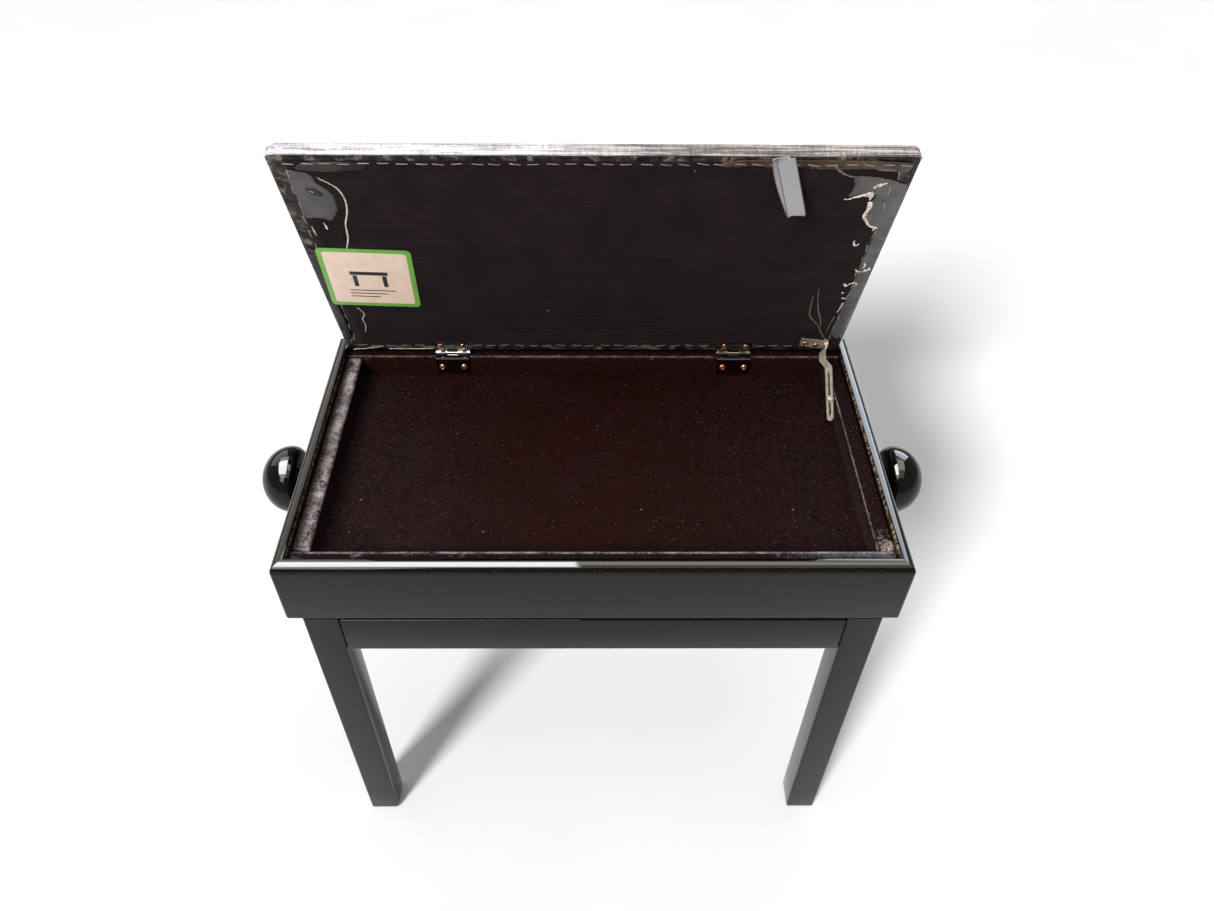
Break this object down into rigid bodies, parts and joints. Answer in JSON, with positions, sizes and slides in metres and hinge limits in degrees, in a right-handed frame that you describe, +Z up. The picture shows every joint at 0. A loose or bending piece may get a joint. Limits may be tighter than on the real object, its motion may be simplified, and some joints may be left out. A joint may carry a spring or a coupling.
{
  "type": "piano bench",
  "caption": "Height-adjustable piano bench: padded lid on hinges with a stay over a velvet-lined storage tray, scissor lift worked by side knobs, square legs.",
  "frame": {"origin": "bottom centre of the whole bench's box, on the floor, with the lid open on its stay and the case at its lowest", "axes": "+Z up, -Y towards the bench's front (the lid's free edge when closed), +X to the right seen from the front"},
  "size_m": [0.672, 0.33, 0.73],
  "materials": {
    "black_lacquer": "wood under thick black polyester lacquer, polished to a mirror gloss",
    "raw_wood": "unfinished softwood",
    "dark_velvet": "board wrapped in dark aubergine flocked velvet, dusty nap on the edges",
    "leatherette": "black coated fabric (leatherette) over foam, semi-gloss, under a crinkled clear transport film at the edges",
    "wrapped_board": "plywood board wrapped in black leatherette, semi-gloss",
    "dust_cloth": "black non-woven dust cloth with fine ribs, matte",
    "satin_ribbon": "silver-grey satin ribbon",
    "nickel": "thin nickel plate, slightly aged",
    "coppered_steel": "coppered steel screws, cross recess",
    "zinc_steel": "zinc-plated steel, dull",
    "nylon": "natural nylon"
  },
  "bodies": {
    "leg_frame": {"leg_front_left": "black_lacquer", "leg_front_right": "black_lacquer", "leg_rear_left": "black_lacquer", "leg_rear_right": "black_lacquer", "apron_front": "black_lacquer", "apron_rear": "black_lacquer", "apron_left": "black_lacquer", "apron_right": "black_lacquer", "corner_block_front_left": "raw_wood", "corner_block_front_right": "raw_wood", "corner_block_rear_left": "raw_wood", "corner_block_rear_right": "raw_wood", "lower_rail_front": "zinc_steel", "lower_rail_rear": "zinc_steel"},
    "case": {"case_panel_front": "black_lacquer", "case_panel_rear": "black_lacquer", "case_panel_left": "black_lacquer", "case_panel_right": "black_lacquer", "tray_floor": "dark_velvet", "ledge_front": "dark_velvet", "ledge_rear": "dark_velvet", "ledge_left": "dark_velvet", "ledge_right": "dark_velvet", "upper_rail_front": "zinc_steel", "upper_rail_rear": "zinc_steel", "rod_bushing_left": "nylon", "rod_bushing_right": "nylon", "hinge_lower_leaf_left": "nickel", "hinge_lower_leaf_right": "nickel", "hinge_pin_left": "nickel", "hinge_pin_right": "nickel", "hinge_lower_screw_left_a": "coppered_steel", "hinge_lower_screw_left_b": "coppered_steel", "hinge_lower_screw_right_a": "coppered_steel", "hinge_lower_screw_right_b": "coppered_steel", "stay_stud": "nickel"},
    "lid": {"lid_board": "wrapped_board", "seat_cushion": "leatherette", "dust_cover": "dust_cloth", "hinge_upper_leaf_left": "nickel", "hinge_upper_leaf_right": "nickel", "hinge_upper_screw_left_a": "coppered_steel", "hinge_upper_screw_left_b": "coppered_steel", "hinge_upper_screw_right_a": "coppered_steel", "hinge_upper_screw_right_b": "coppered_steel", "stay_bracket": "nickel", "ribbon_tab": "satin_ribbon"},
    "stay_arm": {"stay_arm": "nickel"},
    "stay_slider": {"stay_slider": "nickel"},
    "adjuster": {"threaded_rod": "zinc_steel", "knob_left": "black_lacquer", "knob_right": "black_lacquer"},
    "rising_arms": {"rising_arm_front": "zinc_steel", "rising_arm_rear": "zinc_steel", "rising_pivot_shaft": "zinc_steel"},
    "falling_arms": {"falling_arm_front": "zinc_steel", "falling_arm_rear": "zinc_steel", "falling_slide_shaft": "zinc_steel"},
    "nut_crossbar": {"nut_crossbar": "zinc_steel"}
  },
  "joints": [
    {"name": "case_lift", "type": "slide", "parent": "leg_frame", "child": "case", "axis": [0, 0, 1], "range_m": [0, 0.09]},
    {"name": "lid_hinge", "type": "hinge", "parent": "case", "child": "lid", "pos_m": [0, 0.1435, 0.4494], "axis": [1, 0, 0], "range_deg": [0, 70]},
    {"name": "stay_pivot", "type": "hinge", "parent": "lid", "child": "stay_arm", "pos_m": [0.2459, 0.12457, 0.47656], "axis": [1, 0, 0], "range_deg": [-104.1, 0]},
    {"name": "stay_slide", "type": "slide", "parent": "stay_arm", "child": "stay_slider", "axis": [0, -0.8141, -0.5807], "range_m": [-0.0217, 0]},
    {"name": "adjuster_spin", "type": "hinge", "parent": "case", "child": "adjuster", "pos_m": [0, 0, 0.3985], "axis": [1, 0, 0], "range_deg": [0, 2007]},
    {"name": "rising_pivot", "type": "hinge", "parent": "leg_frame", "child": "rising_arms", "pos_m": [-0.17, 0, 0.3625], "axis": [0, -1, 0], "range_deg": [0, 15.68]},
    {"name": "falling_pivot", "type": "hinge", "parent": "case", "child": "falling_arms", "pos_m": [-0.17, 0, 0.3985], "axis": [0, 1, 0], "range_deg": [0, 15.68]},
    {"name": "crossbar_pivot", "type": "hinge", "parent": "rising_arms", "child": "nut_crossbar", "pos_m": [0.16809, 0, 0.3985], "axis": [0, 1, 0], "range_deg": [0, 15.68]}
  ],
  "couplings": [
    {"joint": "stay_pivot", "follows": "lid_hinge", "ratio": -1.4863},
    {"joint": "stay_slide", "follows": "lid_hinge", "m_per_rad": -0.01768},
    {"joint": "adjuster_spin", "follows": "case_lift", "rad_per_m": 389},
    {"joint": "rising_pivot", "follows": "case_lift", "rad_per_m": 3.0396},
    {"joint": "falling_pivot", "follows": "case_lift", "rad_per_m": 3.0396},
    {"joint": "crossbar_pivot", "follows": "case_lift", "rad_per_m": 3.0396}
  ]
}
